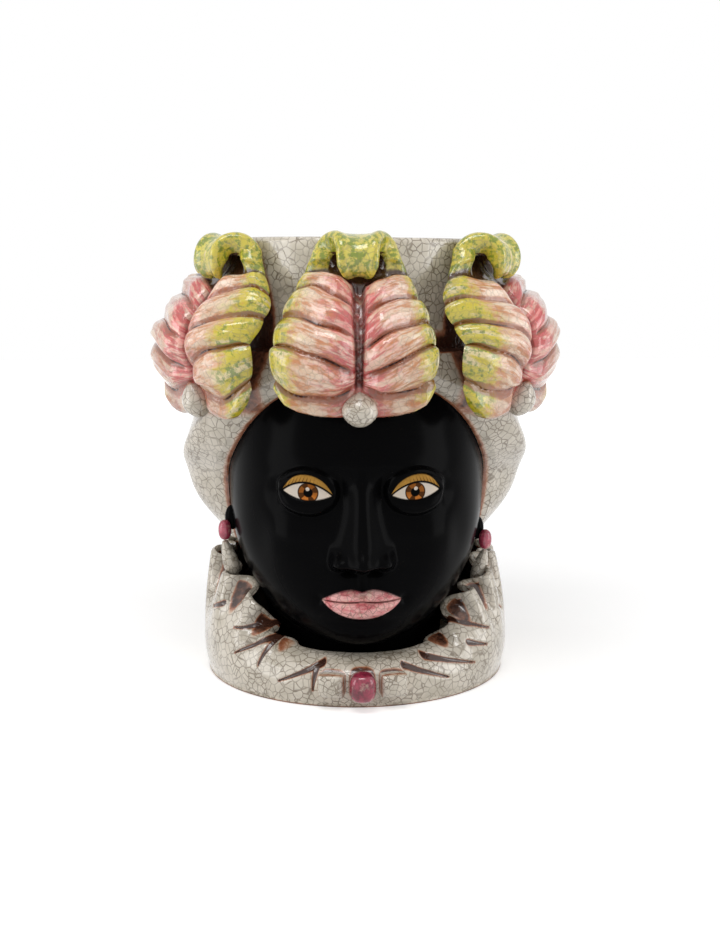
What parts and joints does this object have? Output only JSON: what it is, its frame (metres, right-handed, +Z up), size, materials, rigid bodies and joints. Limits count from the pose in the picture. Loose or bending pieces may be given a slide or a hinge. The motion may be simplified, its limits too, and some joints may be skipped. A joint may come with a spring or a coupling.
{
  "type": "face vase",
  "caption": "Hollow glazed ceramic vase in the form of a head with a wrapped turban, a round open crown with curled leaves and beads, and a pleated collar on a flat round foot.",
  "frame": {"origin": "centre of the overall box at the table, on the foot's flat underside", "axes": "+Z up through the vase's mouth, the face looks along -Y, +X to the viewer's right"},
  "size_m": [0.2568, 0.2666, 0.282],
  "materials": {
    "body_glaze": "glossy ivory glaze with a bare clay foot edge",
    "collar_glaze": "glossy crackled ivory glaze with brown strokes",
    "face_glaze": "glossy black glaze with painted eyes and lips",
    "turban_glaze": "glossy crackled ivory glaze",
    "leaf_glaze": "glossy glaze in pink, ochre, yellow-green and green",
    "bead_glaze": "glossy pink glaze",
    "brooch_glaze": "glossy burgundy glaze"
  },
  "bodies": {
    "root": {"base_slab": "body_glaze", "brooch_bead": "brooch_glaze", "collar_drum": "collar_glaze", "collar_tab_left": "collar_glaze", "collar_tab_right": "collar_glaze", "crown_cylinder": "turban_glaze", "ear_bead_left": "bead_glaze", "ear_bead_right": "bead_glaze", "ear_drop_left": "turban_glaze", "ear_drop_right": "turban_glaze", "ear_left": "face_glaze", "ear_right": "face_glaze", "face_half": "face_glaze", "leaf_back": "leaf_glaze", "leaf_back_left": "leaf_glaze", "leaf_back_right": "leaf_glaze", "leaf_front": "leaf_glaze", "leaf_front_left": "leaf_glaze", "leaf_front_right": "leaf_glaze", "nape_half": "face_glaze", "pearl_back": "turban_glaze", "pearl_back_left": "turban_glaze", "pearl_back_right": "turban_glaze", "pearl_front": "turban_glaze", "pearl_front_left": "turban_glaze", "pearl_front_right": "turban_glaze", "ruffle_back": "collar_glaze", "ruffle_left": "collar_glaze", "ruffle_right": "collar_glaze", "turban_left": "turban_glaze", "turban_right": "turban_glaze"}
  },
  "joints": []
}
